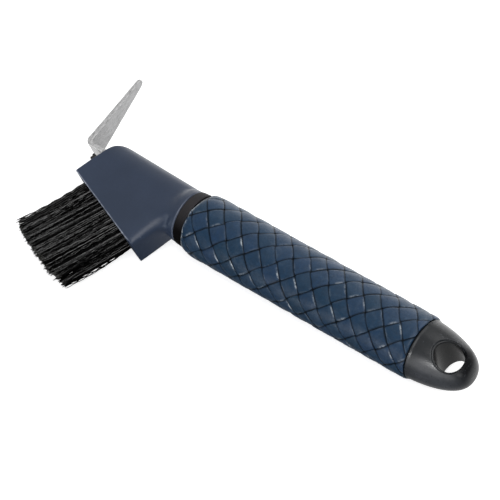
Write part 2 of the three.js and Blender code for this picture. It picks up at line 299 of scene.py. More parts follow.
def prism_z(name, pts, z0, z1):
    n = len(pts)
    verts = [(x, y, z) for z in (z0, z1) for x, y in pts]
    faces = [ring(0, n)[::-1], ring(n, n)] + ring_quads(0, n, n)
    return fix_normals(new_mesh(name, verts, faces))


def cylinder_z(name, x, radius, seg=128):
    """a cutter through the whole cap"""
    angles = [2 * math.pi * k / seg for k in range(seg)]
    pts = [(x + radius * math.cos(a), radius * math.sin(a)) for a in angles]
    return prism_z(name, pts, -30, 30)


def lathe_x(name, profile, seg, closed=False):
    """turn [(x, radius)] round x; on-axis ends are single points, closed joins last to first"""
    verts, rings = [], []
    for x, radius in profile:
        if radius <= 1e-6:
            rings.append([len(verts)])
            verts.append((x, 0, 0))
        else:
            rings.append(ring(len(verts), seg))
            for k in range(seg):
                a = 2 * math.pi * k / seg
                verts.append((x, radius * math.cos(a), radius * math.sin(a)))
    faces = []
    pairs = list(zip(rings[:-1], rings[1:]))
    if closed:
        pairs.append((rings[-1], rings[0]))
    for a, b in pairs:
        for k in range(seg):
            n = (k + 1) % seg
            if len(a) == 1:
                faces.append((a[0], b[k], b[n]))
            elif len(b) == 1:
                faces.append((a[k], b[0], a[n]))
            else:
                faces.append((a[k], b[k], b[n], a[n]))
    return fix_normals(new_mesh(name, verts, faces))


# ------------------------------------------------------------------ material helpers
class Mat:
    """a Principled material whose textures run in packed-frame mm"""

    def __init__(self, name):
        self.material = bpy.data.materials.new(name)
        self.material.use_nodes = True
        self.tree = self.material.node_tree
        self.tree.nodes.clear()
        self.out = self.node("ShaderNodeOutputMaterial")
        self.bsdf = self.node("ShaderNodeBsdfPrincipled")
        self.link(self.bsdf.outputs["BSDF"], self.out.inputs["Surface"])
        coord = self.node("ShaderNodeTexCoord")
        mapping = self.node("ShaderNodeMapping")
        mapping.inputs["Scale"].default_value = (1000, 1000, 1000)
        self.link(coord.outputs["Object"], mapping.inputs["Vector"])
        self.co = mapping.outputs["Vector"]

    def node(self, kind, **settings):
        node = self.tree.nodes.new(kind)
        for key, value in settings.items():
            setattr(node, key, value)
        return node

    def link(self, source, target):
        self.tree.links.new(source, target)

    def put(self, socket, value):
        if isinstance(value, bpy.types.NodeSocket):
            self.link(value, socket)
        else:
            socket.default_value = value

    def noise(self, scale, detail=3.0, rough=0.55, warp=0.0, vec=None):
        tex = self.node("ShaderNodeTexNoise")
        tex.inputs["Scale"].default_value = scale
        tex.inputs["Detail"].default_value = detail
        tex.inputs["Roughness"].default_value = rough
        tex.inputs["Distortion"].default_value = warp
        self.link(vec or self.co, tex.inputs["Vector"])
        return tex.outputs["Fac"]

    def voronoi(self, scale, feature, vec=None):
        tex = self.node("ShaderNodeTexVoronoi", feature=feature)
        tex.inputs["Scale"].default_value = scale
        self.link(vec or self.co, tex.inputs["Vector"])
        return tex.outputs["Distance"]

    def stretch(self, scale, turn=(0, 0, 0)):
        """texture coordinates scaled and turned per axis"""
        mapping = self.node("ShaderNodeMapping")
        mapping.inputs["Scale"].default_value = scale
        mapping.inputs["Rotation"].default_value = turn
        self.link(self.co, mapping.inputs["Vector"])
        return mapping.outputs["Vector"]

    def ramp(self, fac, span, to=(0.0, 1.0)):
        """map the input range span to the output range to, clamped"""
        node = self.node("ShaderNodeMapRange")
        node.inputs["From Min"].default_value, node.inputs["From Max"].default_value = span
        node.inputs["To Min"].default_value, node.inputs["To Max"].default_value = to
        self.link(fac, node.inputs["Value"])
        return node.outputs["Result"]

    def calc(self, operation, a, b=None):
        node = self.node("ShaderNodeMath", operation=operation)
        self.put(node.inputs[0], a)
        if b is not None:
            self.put(node.inputs[1], b)
        return node.outputs[0]

    def add(self, a, b):
        return self.calc("ADD", a, b)

    def sub(self, a, b):
        return self.calc("SUBTRACT", a, b)

    def mul(self, a, b):
        return self.calc("MULTIPLY", a, b)

    def mix(self, fac, a, b):
        node = self.node("ShaderNodeMix", data_type="RGBA")
        for index, value in ((0, fac), (6, a), (7, b)):
            self.put(node.inputs[index], value)
        return node.outputs[2]

    def bumps(self, *layers):
        """chained bumps, each (height, strength, distance in metres)"""
        normal = None
        for height, strength, distance in layers:
            node = self.node("ShaderNodeBump")
            node.inputs["Strength"].default_value = strength
            node.inputs["Distance"].default_value = distance
            self.link(height, node.inputs["Height"])
            if normal is not None:
                self.link(normal, node.inputs["Normal"])
            normal = node.outputs["Normal"]
        return normal

    def attr(self, name):
        return self.node("ShaderNodeAttribute", attribute_name=name).outputs["Fac"]

    def geometry(self, output):
        return self.node("ShaderNodeNewGeometry").outputs[output]

    def split(self, vec):
        """X, Y and Z outputs of a vector"""
        node = self.node("ShaderNodeSeparateXYZ")
        self.link(vec, node.inputs[0])
        return node.outputs

    def edge(self, span):
        """rises along convex edges, from the mesh's own curvature"""
        return self.ramp(self.geometry("Pointiness"), span=span)

    def set(self, **inputs):
        for key, value in inputs.items():
            self.put(self.bsdf.inputs[key.replace("_", " ")], value)
        return self.material


def rgb(*channels):
    """sRGB 0-255 to linear"""
    def linear(c):
        return c / 255 / 12.92 if c / 255 <= 0.04045 else ((c / 255 + 0.055) / 1.055) ** 2.4
    return (*map(linear, channels), 1.0)


# ------------------------------------------------------------------ materials
def mat_head():
    m = Mat("head_plastic_mat")
    big = m.noise(scale=0.055, detail=3, rough=0.5)
    mid = m.noise(scale=0.9, detail=4, rough=0.6)
    fine = m.noise(scale=7.0, detail=3, rough=0.6)
    col = m.mix(m.ramp(big, span=(0.35, 0.65)), rgb(35, 46, 64), rgb(40, 51, 70))
    col = m.mix(m.ramp(mid, span=(0.3, 0.75), to=(0.0, 0.35)), col, rgb(33, 42, 59))
    pos = m.split(m.co)
    # pale convex edges, below the smooth crown only: part wear, part painted highlight
    below = m.ramp(pos["Y"], span=(ORG_Y + 2.5, ORG_Y - 1.0))
    highlight_mask = m.mul(m.mul(m.edge(span=(0.53, 0.62)), below), 0.35)
    col = m.mix(highlight_mask, col, rgb(88, 97, 112))
    # painted highlight: a pale rim where the neck meets the collar, stronger toward -Y
    rim = m.ramp(pos["X"], span=(ORG_X - 0.8, ORG_X - 0.35))
    rim = m.mul(rim, m.ramp(pos["Y"], span=(ORG_Y + 4, ORG_Y - 5), to=(0.3, 1.0)))
    col = m.mix(m.mul(rim, 0.42), col, rgb(112, 118, 134))
    # painted highlight: a pale line along the moulding edge of the brush face, broken into
    # patches like glints
    outward = m.node("ShaderNodeVectorMath", operation="DOT_PRODUCT")
    m.link(m.co, outward.inputs[0])
    outward.inputs[1].default_value = (OUT_X, OUT_Y, 0)
    face = (ORG_X + NOSE[0]) * OUT_X + (ORG_Y + NOSE[1]) * OUT_Y
    off_centre = m.calc("ABSOLUTE", m.sub(pos["Z"], ORG_Z))
    face_edge_highlight = m.mul(m.ramp(outward.outputs["Value"], span=(face - 0.6, face - 0.3)),
                  m.ramp(off_centre, span=(8.2, 8.5)))
    patches = m.noise(scale=0.35, detail=3, rough=0.65)
    face_edge_highlight = m.mul(face_edge_highlight, m.ramp(patches, span=(0.38, 0.62), to=(0.3, 1.0)))
    col = m.mix(face_edge_highlight, col, rgb(145, 150, 162))
    scratch = m.noise(scale=1.0, detail=4, rough=0.7, warp=0.3,
                      vec=m.stretch((0.25, 3.2, 3.2), turn=(0.2, 0.1, 0.5)))
    rough = m.add(m.ramp(mid, span=(0.2, 0.8), to=(0.34, 0.46)),
                  m.ramp(scratch, span=(0.55, 0.75), to=(0.0, 0.09)))
    rough = m.sub(rough, m.mul(rim, 0.12))
    normal = m.bumps((fine, 0.10, 0.00006), (mid, 0.06, 0.0004),
                     (m.ramp(scratch, span=(0.62, 0.7)), 0.05, 0.00004))
    return m.set(Base_Color=col, Roughness=rough, Normal=normal, Specular_IOR_Level=0.42)


def mat_steel():
    m = Mat("pick_steel_mat")
    big = m.noise(scale=0.16, detail=4, rough=0.55)
    mid = m.noise(scale=1.4, detail=5, rough=0.65)
    fine = m.noise(scale=9.0, detail=3, rough=0.6)
    pits = m.voronoi(scale=1.3, feature="F1")
    col = m.mix(m.ramp(big, span=(0.3, 0.7)), rgb(134, 134, 135), rgb(157, 157, 158))
    col = m.mix(m.ramp(mid, span=(0.35, 0.75), to=(0.0, 0.65)), col, rgb(122, 122, 122))
    flecks = m.noise(scale=2.6, detail=4, rough=0.7)
    col = m.mix(m.ramp(flecks, span=(0.50, 0.66), to=(0.0, 0.55)), col, rgb(186, 186, 186))
    col = m.mix(m.mul(m.edge(span=(0.52, 0.6)), 0.8), col, rgb(196, 196, 196))
    col = m.mix(m.ramp(pits, span=(0.10, 0.0), to=(0.0, 0.35)), col, rgb(100, 100, 98))
    # painted light: the narrow sides and the faces turned to -Y are painted brighter, as if
    # lit, in patches
    facing = m.split(m.geometry("Normal"))
    highlight_mask = m.ramp(m.noise(scale=0.8, detail=4, rough=0.7), span=(0.40, 0.62), to=(0.92, 0.30))
    sideways = m.ramp(m.calc("ABSOLUTE", facing["Z"]), span=(0.55, 0.9))
    painted_side_light = m.calc("MAXIMUM", m.mul(sideways, highlight_mask),
                     m.ramp(facing["Y"], span=(-0.50, -0.92), to=(0.0, 0.9)))
    col = m.mix(painted_side_light, col, rgb(190, 190, 190))
    # drawn-out mottling along the blade
    drawn = m.noise(scale=1.0, detail=4, rough=0.7,
                    vec=m.stretch((1.5, 0.22, 1.5), turn=(0, 0, -0.05)))
    col = m.mix(m.ramp(drawn, span=(0.52, 0.64), to=(0.0, 0.7)), col, rgb(112, 112, 111))
    grind = m.noise(scale=1.0, detail=5, rough=0.75, warp=0.2,
                    vec=m.stretch((5.0, 0.35, 0.8), turn=(0, 0, 0.05)))
    rough = m.add(m.ramp(mid, span=(0.25, 0.8), to=(0.36, 0.5)),
                  m.ramp(grind, span=(0.4, 0.8), to=(0.0, 0.12)))
    normal = m.bumps((grind, 0.20, 0.00016), (fine, 0.30, 0.00012),
                     (mid, 0.25, 0.0003), (big, 0.16, 0.0006))
    return m.set(Base_Color=col, Metallic=0.55, Roughness=rough, Normal=normal)


def mat_black_plastic(name, base, patch, rough_range, spec=0.5, underside_shade=0.0):
    m = Mat(name)
    big = m.noise(scale=0.12, detail=3, rough=0.5)
    mid = m.noise(scale=1.1, detail=4, rough=0.6)
    fine = m.noise(scale=8.0, detail=3, rough=0.6)
    col = m.mix(m.ramp(big, span=(0.3, 0.7)), base, patch)
    col = m.mix(m.mul(m.edge(span=(0.53, 0.62)), 0.35), col, rgb(92, 92, 95))
    if underside_shade:
        # painted shade: the side that faces the bristles is painted darker, as if in shadow
        height = m.sub(m.split(m.co)["Y"], ORG_Y)
        low = m.ramp(height, span=(-5.5, -10.5), to=(0.0, underside_shade))
        shade_mask = m.mul(low, m.ramp(mid, span=(0.2, 0.6), to=(0.75, 1.0)))
        col = m.mix(shade_mask, col, rgb(7, 6, 7))
    turned = m.noise(scale=1.0, detail=4, rough=0.7, vec=m.stretch((4.0, 0.3, 0.3)))
    rough = m.add(m.ramp(mid, span=(0.2, 0.8), to=rough_range),
                  m.ramp(turned, span=(0.5, 0.8), to=(0.0, 0.08)))
    normal = m.bumps((fine, 0.10, 0.00006), (turned, 0.05, 0.00008))
    return m.set(Base_Color=col, Roughness=rough, Normal=normal, Specular_IOR_Level=spec)


def mat_cap():
    m = Mat("cap_rubber_mat")
    big = m.noise(scale=0.07, detail=3, rough=0.5)
    mid = m.noise(scale=0.8, detail=4, rough=0.6)
    fine = m.noise(scale=9.0, detail=3, rough=0.65)
    col = m.mix(m.ramp(big, span=(0.3, 0.7)), rgb(25, 27, 29), rgb(30, 32, 35))
    col = m.mix(m.ramp(mid, span=(0.35, 0.8), to=(0.0, 0.4)), col, rgb(23, 24, 26))
    # painted highlight on convex edges, painted shade in creases
    col = m.mix(m.mul(m.edge(span=(0.53, 0.60)), 0.4), col, rgb(88, 91, 96))
    col = m.mix(m.mul(m.edge(span=(0.48, 0.43)), 0.85), col, rgb(6, 6, 7))
    pos = m.split(m.co)
    dx = m.sub(pos["X"], ORG_X + EYE_X)
    dy = m.sub(pos["Y"], ORG_Y)

    def eye_distance():
        return m.calc("SQRT", m.add(m.mul(dx, dx), m.mul(dy, dy)))
    # painted shade: the wall of the hanging hole is painted darker and given less gloss than
    # the outside, as a recess in shadow
    hole_wall_shade = m.ramp(eye_distance(), span=(6.75, 6.4))
    # painted shade beside the hole, toward the end of the cap
    hole_side_shade = m.mul(m.ramp(eye_distance(), span=(10.9, 9.3)),
                  m.mul(m.ramp(dx, span=(1.0, 5.0)), m.ramp(dy, span=(-5.5, -2.0))))
    col = m.mix(m.mul(hole_side_shade, 0.75), col, rgb(9, 9, 10))
    # paler patches along the -Y side: part dust, part painted light lifting the underside
    dust_and_painted_light = m.mul(m.ramp(dy, span=(-4.5, -9.5)), m.ramp(dx, span=(-17.0, -9.0)))
    patches = m.noise(scale=0.5, detail=4, rough=0.65)
    dust_and_painted_light = m.mul(dust_and_painted_light, m.ramp(patches, span=(0.30, 0.70), to=(0.5, 0.9)))
    col = m.mix(dust_and_painted_light, col, rgb(48, 50, 54))
    col = m.mix(m.mul(hole_wall_shade, 0.8), col, rgb(9, 9, 10))
    scuff = m.noise(scale=1.0, detail=5, rough=0.75, warp=0.6,
                    vec=m.stretch((0.5, 2.2, 1.0), turn=(0.4, 0.0, 0.7)))
    rough = m.add(m.ramp(mid, span=(0.2, 0.8), to=(0.25, 0.34)),
                  m.ramp(scuff, span=(0.55, 0.75), to=(0.0, 0.10)))
    normal = m.bumps((fine, 0.14, 0.00007), (mid, 0.08, 0.0004))
    spec = m.sub(m.ramp(hole_wall_shade, span=(0.0, 1.0), to=(0.28, 0.07)), m.mul(hole_side_shade, 0.2))
    return m.set(Base_Color=col, Roughness=rough, Normal=normal, Specular_IOR_Level=spec)


def mat_packing():
    m = Mat("packing_rubber_mat")
    mid = m.noise(scale=1.2, detail=4, rough=0.6)
    fine = m.noise(scale=6.0, detail=3, rough=0.6)
    col = m.mix(m.ramp(mid, span=(0.3, 0.7)), rgb(14, 14, 15), rgb(34, 33, 34))
    normal = m.bumps((mid, 0.3, 0.0003), (fine, 0.2, 0.0001))
    rough = m.ramp(fine, span=(0.3, 0.7), to=(0.5, 0.75))
    return m.set(Base_Color=col, Roughness=rough, Normal=normal)


def mat_bristle():
    """black filaments; the strand attribute makes some of them glossier and gives them painted
    highlights as pale dashes
    """
    m = Mat("bristle_nylon_mat")
    strand = m.attr("strand")
    fine = m.noise(scale=1.6, detail=3, rough=0.6)
    # each filament reads its own far-off part of the dash noise
    own = m.node("ShaderNodeVectorMath", operation="ADD")
    m.link(m.co, own.inputs[0])
    far = m.node("ShaderNodeCombineXYZ")
    m.link(m.mul(strand, 977.0), far.inputs[0])
    m.link(m.mul(strand, 613.0), far.inputs[1])
    m.link(far.outputs[0], own.inputs[1])
    dash = m.ramp(m.noise(scale=0.34, detail=3, rough=0.6, vec=own.outputs[0]),
                  span=(0.40, 0.58), to=(0.05, 1.0))
    # painted highlights: pale dashes along some filaments, standing in for glints
    painted_glint = m.mul(m.ramp(strand, span=(0.55, 0.95)), dash)
    col = m.mix(strand, rgb(1, 1, 1), rgb(5, 5, 5))
    col = m.mix(m.ramp(fine, span=(0.5, 0.8), to=(0.0, 0.4)), col, rgb(9, 9, 9))
    col = m.mix(painted_glint, col, rgb(84, 84, 84))
    tip = m.mul(m.attr("tipness"), m.ramp(strand, span=(0.2, 0.6)))
    col = m.mix(tip, col, rgb(92, 92, 90))
    normal = m.bumps((m.noise(scale=2.4, detail=2, rough=0.5), 0.35, 0.0002))
    return m.set(Base_Color=col, Roughness=m.ramp(fine, span=(0.3, 0.7), to=(0.12, 0.24)),
                 Normal=normal,
                 Specular_IOR_Level=m.ramp(strand, span=(0.45, 1.0), to=(0.02, 0.9)))


def mat_leather():
    """attributes: tint varies the cells, seam is 0 at strap edges, the third marks the strap
    edges that get painted glints
    """
    m = Mat("grip_leather_mat")
    tint = m.attr("tint")
    seam = m.attr("seam")
    grain = m.voronoi(scale=1.9, feature="DISTANCE_TO_EDGE")
    small_grain = m.voronoi(scale=4.2, feature="DISTANCE_TO_EDGE")
    mid = m.noise(scale=0.42, detail=4, rough=0.6, warp=0.4)
    fine = m.noise(scale=6.5, detail=4, rough=0.65)
    col = m.mix(tint, rgb(21, 49, 71), rgb(30, 54, 82))
    col = m.mix(m.ramp(mid, span=(0.35, 0.7), to=(0.0, 0.6)), col, rgb(21, 42, 61))
    faded = m.noise(scale=0.22, detail=4, rough=0.65, warp=0.6)
    col = m.mix(m.ramp(faded, span=(0.48, 0.70), to=(0.0, 0.45)), col, rgb(52, 70, 90))
    spots = m.noise(scale=0.9, detail=5, rough=0.7, warp=0.8)
    col = m.mix(m.ramp(spots, span=(0.58, 0.75), to=(0.0, 0.34)), col, rgb(54, 82, 110))
    col = m.mix(m.ramp(grain, span=(0.0, 0.07), to=(0.28, 0.0)), col, rgb(20, 31, 47))
    # painted shade along the seams, where the straps meet and pass under one another
    col = m.mix(m.ramp(seam, span=(0.0, 1.0), to=(1.0, 0.0)), col, rgb(7, 11, 14))
    # painted glints: pale, glossier strap edges
    highlight_mask = m.mul(m.attr("lip"),
                 m.ramp(m.noise(scale=0.6, detail=4, rough=0.65), span=(0.36, 0.56)))
    col = m.mix(m.mul(highlight_mask, 0.80), col, rgb(214, 222, 228))
    rough = m.add(m.ramp(fine, span=(0.25, 0.75), to=(0.33, 0.46)),
                  m.ramp(mid, span=(0.3, 0.7), to=(-0.04, 0.08)))
    rough = m.sub(rough, m.mul(highlight_mask, 0.22))
    crease = m.voronoi(scale=0.55, feature="DISTANCE_TO_EDGE",
                       vec=m.stretch((0.6, 1.0, 1.0), turn=(0.3, 0.2, 0.9)))
    normal = m.bumps((m.ramp(grain, span=(0.0, 0.12)), 0.10, 0.00010),
                     (m.ramp(small_grain, span=(0.0, 0.12)), 0.05, 0.00006),
                     (mid, 0.16, 0.0008),
                     (m.ramp(crease, span=(0.0, 0.10)), 0.10, 0.00022),
                     (fine, 0.06, 0.00008))
    spec = m.add(m.ramp(seam, span=(0.0, 1.0), to=(0.06, 0.30)), m.mul(highlight_mask, 0.7))
    return m.set(Base_Color=col, Roughness=rough, Normal=normal, Specular_IOR_Level=spec)


def mat_liner():
    m = Mat("grip_liner_mat")
    fine = m.noise(scale=3.0, detail=4, rough=0.6)
    weft = m.node("ShaderNodeTexWave", wave_type="BANDS", bands_direction="X")
    weft.inputs["Scale"].default_value = 0.6
    m.link(m.co, weft.inputs["Vector"])
    col = m.mix(m.ramp(fine, span=(0.3, 0.7)), rgb(6, 9, 14), rgb(16, 20, 28))
    normal = m.bumps((fine, 0.3, 0.0002), (weft.outputs["Fac"], 0.1, 0.0001))
    rough = m.ramp(fine, span=(0.3, 0.7), to=(0.6, 0.8))
    return m.set(Base_Color=col, Roughness=rough, Normal=normal)


HEAD = mat_head()
STEEL = mat_steel()
CAP = mat_cap()
PACKING = mat_packing()
COLLAR = mat_black_plastic("collar_plastic_mat", base=rgb(32, 32, 34), patch=rgb(38, 36, 37),
                           rough_range=(0.55, 0.62), spec=0.05, underside_shade=0.9)
CORE = mat_black_plastic("core_plastic_mat", base=rgb(20, 20, 22), patch=rgb(26, 26, 28),
                         rough_range=(0.5, 0.62))
BRISTLE = mat_bristle()
LEATHER = mat_leather()
LINER = mat_liner()

# ------------------------------------------------------------------ head
# (x, radius) of the round neck, from inside the head back through the spigot
NECK_PROFILE = [
    (-13, 0), (-13, 7.6), (-11.4, 8.3), (-10, 8.75), (-9.0, 9.05), (-8.2, 9.35), (-7.5, 9.7),
    (-6.9, 10.05), (-6.3, 10.5), (-5.8, 10.95), (-5.2, 11.5), (-4.7, 11.95), (-4.0, 12.35),
    (-3.4, 12.55), (-2.6, 12.66), (-1.6, NECK_R), (-0.75, NECK_R + 0.03),
    (-0.3, NECK_R - 0.12), (0, NECK_R - 0.45),
    (0, SPIGOT_R), (12, SPIGOT_R), (31, SPIGOT_R), (32, 6.0), (32, 0)]


def step(v, a, b):
    """smooth step from 0 at a to 1 at b"""
    t = np.clip((v - a) / (b - a), 0, 1)
    return t ** 2 * (3 - 2 * t)


def crown_cutter():
    """rounded section swept along the head, following the slope of the ridge"""
    rise, half, steps = RIDGE_Y - CROWN_FROM, HEAD_W / 2, 48
    section = [(-40, -half)]
    for i in range(2 * steps + 1):
        a = -math.pi / 2 + math.pi * i / (2 * steps)
        c, s = max(math.cos(a), 0.0), math.sin(a)
        section.append((CROWN_FROM + rise * c ** (2 / CROWN_EXP),
                        half * math.copysign(abs(s) ** (2 / CROWN_EXP), s)))
    section.append((-40, half))
    n = len(section)
    verts = [(x, y - RIDGE_RISE * (x - RIDGE_X), z) for x in (-70, 0) for y, z in section]
    faces = [ring(0, n), ring(n, n)[::-1]] + ring_quads(0, n, n, flipped=True)
    return fix_normals(new_mesh("t_crown", verts, faces))


def hole_cutter(seg=32):
    verts, faces = [], []
    for _, _, root, out, across in tuft_places():
        base = len(verts)
        for depth in (-HOLE_DEPTH, 3.0):
            for k in range(seg):
                a = 2 * math.pi * k / seg
                verts.append(root + out * depth
                             + (across * math.cos(a) + SIDE * math.sin(a)) * HOLE_R)
        faces += [ring(base, seg)[::-1], ring(base + seg, seg)]
        faces += ring_quads(base, base + seg, seg)
    return fix_normals(new_mesh("t_holes", verts, faces))


def cut_pick_slot(body):
    """slot for the strip, narrower pocket for its tang, and the packing pocket below"""
    y0, y1 = PICK_Y0 - SLOT_GAP, PICK_Y0 + PICK_T + SLOT_GAP
    slot_end = nose_x(PICK_Y0) + 4.0 + PACK_R
    half = PICK_W / 2 + SLOT_GAP
    boolean(body, prism_z("t_slot", rect(-75, y0, slot_end, y1), -half, half), "DIFFERENCE")
    tang = rect(slot_end - 1, y0, PICK_TANG_X + 0.4, y1)
    half = PICK_TANG_W / 2 + PACK_R
    boolean(body, prism_z("t_slot2", tang, -half, half), "DIFFERENCE")
    low, high = nose_x(-1.05), nose_x(4.5)
    pocket = [(low - 6, -1.05), (low + 3.45, -1.05), (high + 3.45, 4.5), (high - 6, 4.5)]
    boolean(body, prism_z("t_pack", pocket, -7.35, 7.35), "DIFFERENCE")


def soften_head(body):
    scale = 1.0
    # rear flank, mostly on the +Z side
    x, y, z = get_verts(body).T
    soften(body, step(x, -16.5, -12.0) * step(-x, 0.9, 1.6)
           * (0.25 + 0.75 * step(y, -25.0, -13.0)) * step(y, -29.0, -25.0)
           * step(-y, -3.0, 1.0) * (0.10 + 0.90 * step(z, -2.0, 4.0)), int(480 * scale))
    # below the neck, clear of the spigot
    x, y, z = get_verts(body).T
    soften(body, step(x, -17.0, -10.5) * step(-x, 0.9, 2.2) * step(y, -17.0, -11.0)
           * step(-y, -9.5, -6.5) * step(np.hypot(y, z), 7.2, 8.2)
           * (0.15 + 0.85 * step(z, -2.0, 4.0)), int(200 * scale))
    # crown
    x, y, z = get_verts(body).T
    soften(body, step(y, 0.0, 4.0) * step(-x, 2.0, 5.0) * step(x, -56.5, -54.0),
           int(16 * scale))


def roll_rear_edge(body, drop=1.0, reach=4.5):
    """the flat +Z side rolls over gently towards the rear edge"""
    co = get_verts(body)
    x, y, z = co.T
    edge_x, edge_y = REAR_TOP[0] - HEEL[0], REAR_TOP[1] - HEEL[1]
    inside = (edge_x * (y - HEEL[1]) - edge_y * (x - HEEL[0])) / math.hypot(edge_x, edge_y)
    co[:, 2] -= (drop * np.clip(1 - inside / reach, 0, 1) ** 2 * step(z, 5.0, 8.0)
                 * step(-y, 5.5, 8.5) * step(-x, 2.5, 5.0))
    set_verts(body, co)


def build_head():
    slant = OUT_X / OUT_Y
    # where the nose face meets the ridge
    corner_x = ((NOSE[0] + slant * (RIDGE_Y + RIDGE_RISE * RIDGE_X - NOSE[1]))
                / (1 + slant * RIDGE_RISE))
    top = (NECK_X, ridge_y(NECK_X))
    outline = [NOSE, HEEL, REAR_TOP, (NECK_X, REAR_TOP[1]), top]
    outline += fillet(top, (corner_x, ridge_y(corner_x)), NOSE, NOSE_R, 40)
    body = prism_z("head_shell", outline, -HEAD_W / 2, HEAD_W / 2)
    boolean(body, crown_cutter(), "INTERSECT")
    boolean(body, lathe_x("t_flare", NECK_PROFILE, 128), "UNION")
    cut_pick_slot(body)
    boolean(body, hole_cutter(), "DIFFERENCE")
    remesh(body, voxel=0.27, rounds=5)
    soften_head(body)
    roll_rear_edge(body)
    return finish_piece(body, "head_block", HEAD)


# ------------------------------------------------------------------ pick
PICK_LOOSE_FROM = 34     # stations after this one have hand-worn edges


def pick_stations():
    """(outer face point, inner face point, half width) from the tang round to the tip"""
    y0, y1 = PICK_Y0, PICK_Y0 + PICK_T
    shoulder = nose_x(PICK_Y0) + 4.0
    inner_r = BEND_R - PICK_T
    outer_cx, outer_cy = PICK_BEND_X + BEND_R, y0 + BEND_R
    inner_cx, inner_cy = PICK_BEND_X + PICK_HEEL_T + inner_r, y1 + inner_r
    tang, full, tip_r = PICK_TANG_W / 2, PICK_W / 2, PICK_TIP_W / 2
    stations = []
    for back, shrink in ((0.0, 0.45), (0.2, 0.12), (0.55, 0.0)):     # rounded tang end
        x = PICK_TANG_X - back
        stations.append(((x, y0 + shrink), (x, y1 - shrink), tang - shrink))
    for x in np.linspace(PICK_TANG_X - 1.5, shoulder + 0.6, 12):
        stations.append(((x, y0), (x, y1), tang))
    for t in np.linspace(0, 1, 7):                                   # widening shoulder
        x = shoulder + 0.5 - 0.9 * t
        width = tang + (full - tang) * (0.5 - 0.5 * math.cos(math.pi * t))
        stations.append(((x, y0), (x, y1), width))
    start = shoulder - 0.4
    for t in np.linspace(0.1, 1, 9):
        stations.append(((start + (outer_cx - shoulder + 0.4) * t, y0),
                         (start + (inner_cx - shoulder + 0.4) * t, y1), full))
    for i in range(1, 15):                                           # bend
        a = -math.pi / 2 - math.pi / 2 * i / 14
        stations.append((
            (outer_cx + BEND_R * math.cos(a), outer_cy + BEND_R * math.sin(a)),
            (inner_cx + inner_r * math.cos(a), inner_cy + inner_r * math.sin(a)), full))
    # blade: a straight taper, then a round tip
    blade_y0, blade_y1 = outer_cy, PICK_TIP_Y - 1.0
    taper_y0, taper_y1 = PICK_Y0 + 3.0, PICK_TIP_Y - tip_r
    outer0, outer1 = PICK_BEND_X, PICK_BEND_X - PICK_LEAN * (blade_y1 - PICK_Y0)
    inner0, inner1 = PICK_BEND_X + PICK_HEEL_T, outer1 + PICK_T
    heights = list(np.linspace(blade_y0, taper_y1, 70)[1:])
    heights += [taper_y1 + tip_r * math.sin(a) for a in np.linspace(0, math.pi / 2, 16)[1:]]
    for y in heights:
        t = (y - blade_y0) / (blade_y1 - blade_y0)
        taper = min(max((y - taper_y0) / (PICK_TIP_Y - tip_r - PICK_Y0 - 3.0), 0), 1)
        width = full + (tip_r - full) * taper
        over = y - taper_y1
        if over > 0:
            width = tip_r * math.sqrt(max(1 - (over / tip_r) ** 2, 0.0))
        thin = 0.30 * max(0.0, (y - (PICK_TIP_Y - 3.4)) / 3.4) ** 1.7
        bow = 0.13 * math.sin(math.pi * t)
        stations.append(((outer0 + (outer1 - outer0) * t + bow + thin, y),
                         (inner0 + (inner1 - inner0) * t + bow * 0.5 - thin, y),
                         max(width, 0.10)))
    return stations


def pick_section(half_w, half_t, radius=0.46):
    """round-cornered rectangle with extra points along its two wide sides"""
    radius = min(radius, half_w * 0.92, half_t * 0.92)
    pts = []
    for sx, sy, a0 in ((1, 1, 0), (-1, 1, math.pi / 2), (-1, -1, math.pi),
                       (1, -1, 1.5 * math.pi)):
        for i in range(6):
            a = a0 + math.pi / 2 * i / 5
            pts.append((sx * (half_w - radius) + radius * math.cos(a),
                        sy * (half_t - radius) + radius * math.sin(a)))
        if sx == sy:
            for q in (0.8, 0.6, 0.4, 0.2, 0.0, -0.2, -0.4, -0.6, -0.8):
                pts.append((sy * q * (half_w - radius), sy * half_t))
    return pts


def build_pick():
    """a strip with rounded edges, swept along its two faces and closed round the tip"""
    verts, faces, previous = [], [], None
    for i, (outer, inner, half_w) in enumerate(pick_stations()):
        outer, inner = Vector((*outer, 0)), Vector((*inner, 0))
        centre = (outer + inner) / 2
        normal = (inner - outer).normalized()
        loose = 1.0 if i > PICK_LOOSE_FROM else 0.0
        y = centre.y
        # uneven edges on the +Z and -Z sides
        wave_hi = loose * 0.05 * (math.sin(0.9 * y + 0.6) + 0.7 * math.sin(2.3 * y + 2.0))
        wave_lo = loose * 0.05 * (math.sin(1.1 * y + 2.6) + 0.7 * math.sin(2.7 * y + 0.3))
        fade = min(1.0, half_w / 1.2)
        section = pick_section(half_w, (inner - outer).length / 2)
        current, count = len(verts), len(section)
        for a, b in section:
            wave = wave_hi if a > 0 else -wave_lo
            across = a + wave * fade * min(1, abs(a) / max(half_w, 0.01))
            dent = (loose * fade * 0.035 * math.sin(1.7 * y + 1.9 * a)
                    * math.sin(0.8 * y - 1.1 * a + 1.0))
            verts.append(centre + SIDE * across + normal * (b + dent))
        if previous is None:
            faces.append(ring(current, count))
        else:
            faces += ring_quads(previous, current, count, flipped=True)
        previous = current
    faces.append(ring(previous, count)[::-1])
    ob = fix_normals(new_mesh("pick_blade", verts, faces))
    return finish_piece(ob, "pick", STEEL)


# (x, y, z, radius) of the lumps that stand out of the packing
PACKING_LUMPS = [
    (-55.85, 1.55, 7.15, 0.80), (-55.95, -0.05, 7.0, 0.78), (-55.3, 0.7, 6.9, 0.75),
    (-55.6, 1.2, -6.6, 0.7), (-55.4, 0.2, 2.4, 0.6), (-55.5, 1.5, -1.8, 0.6)]


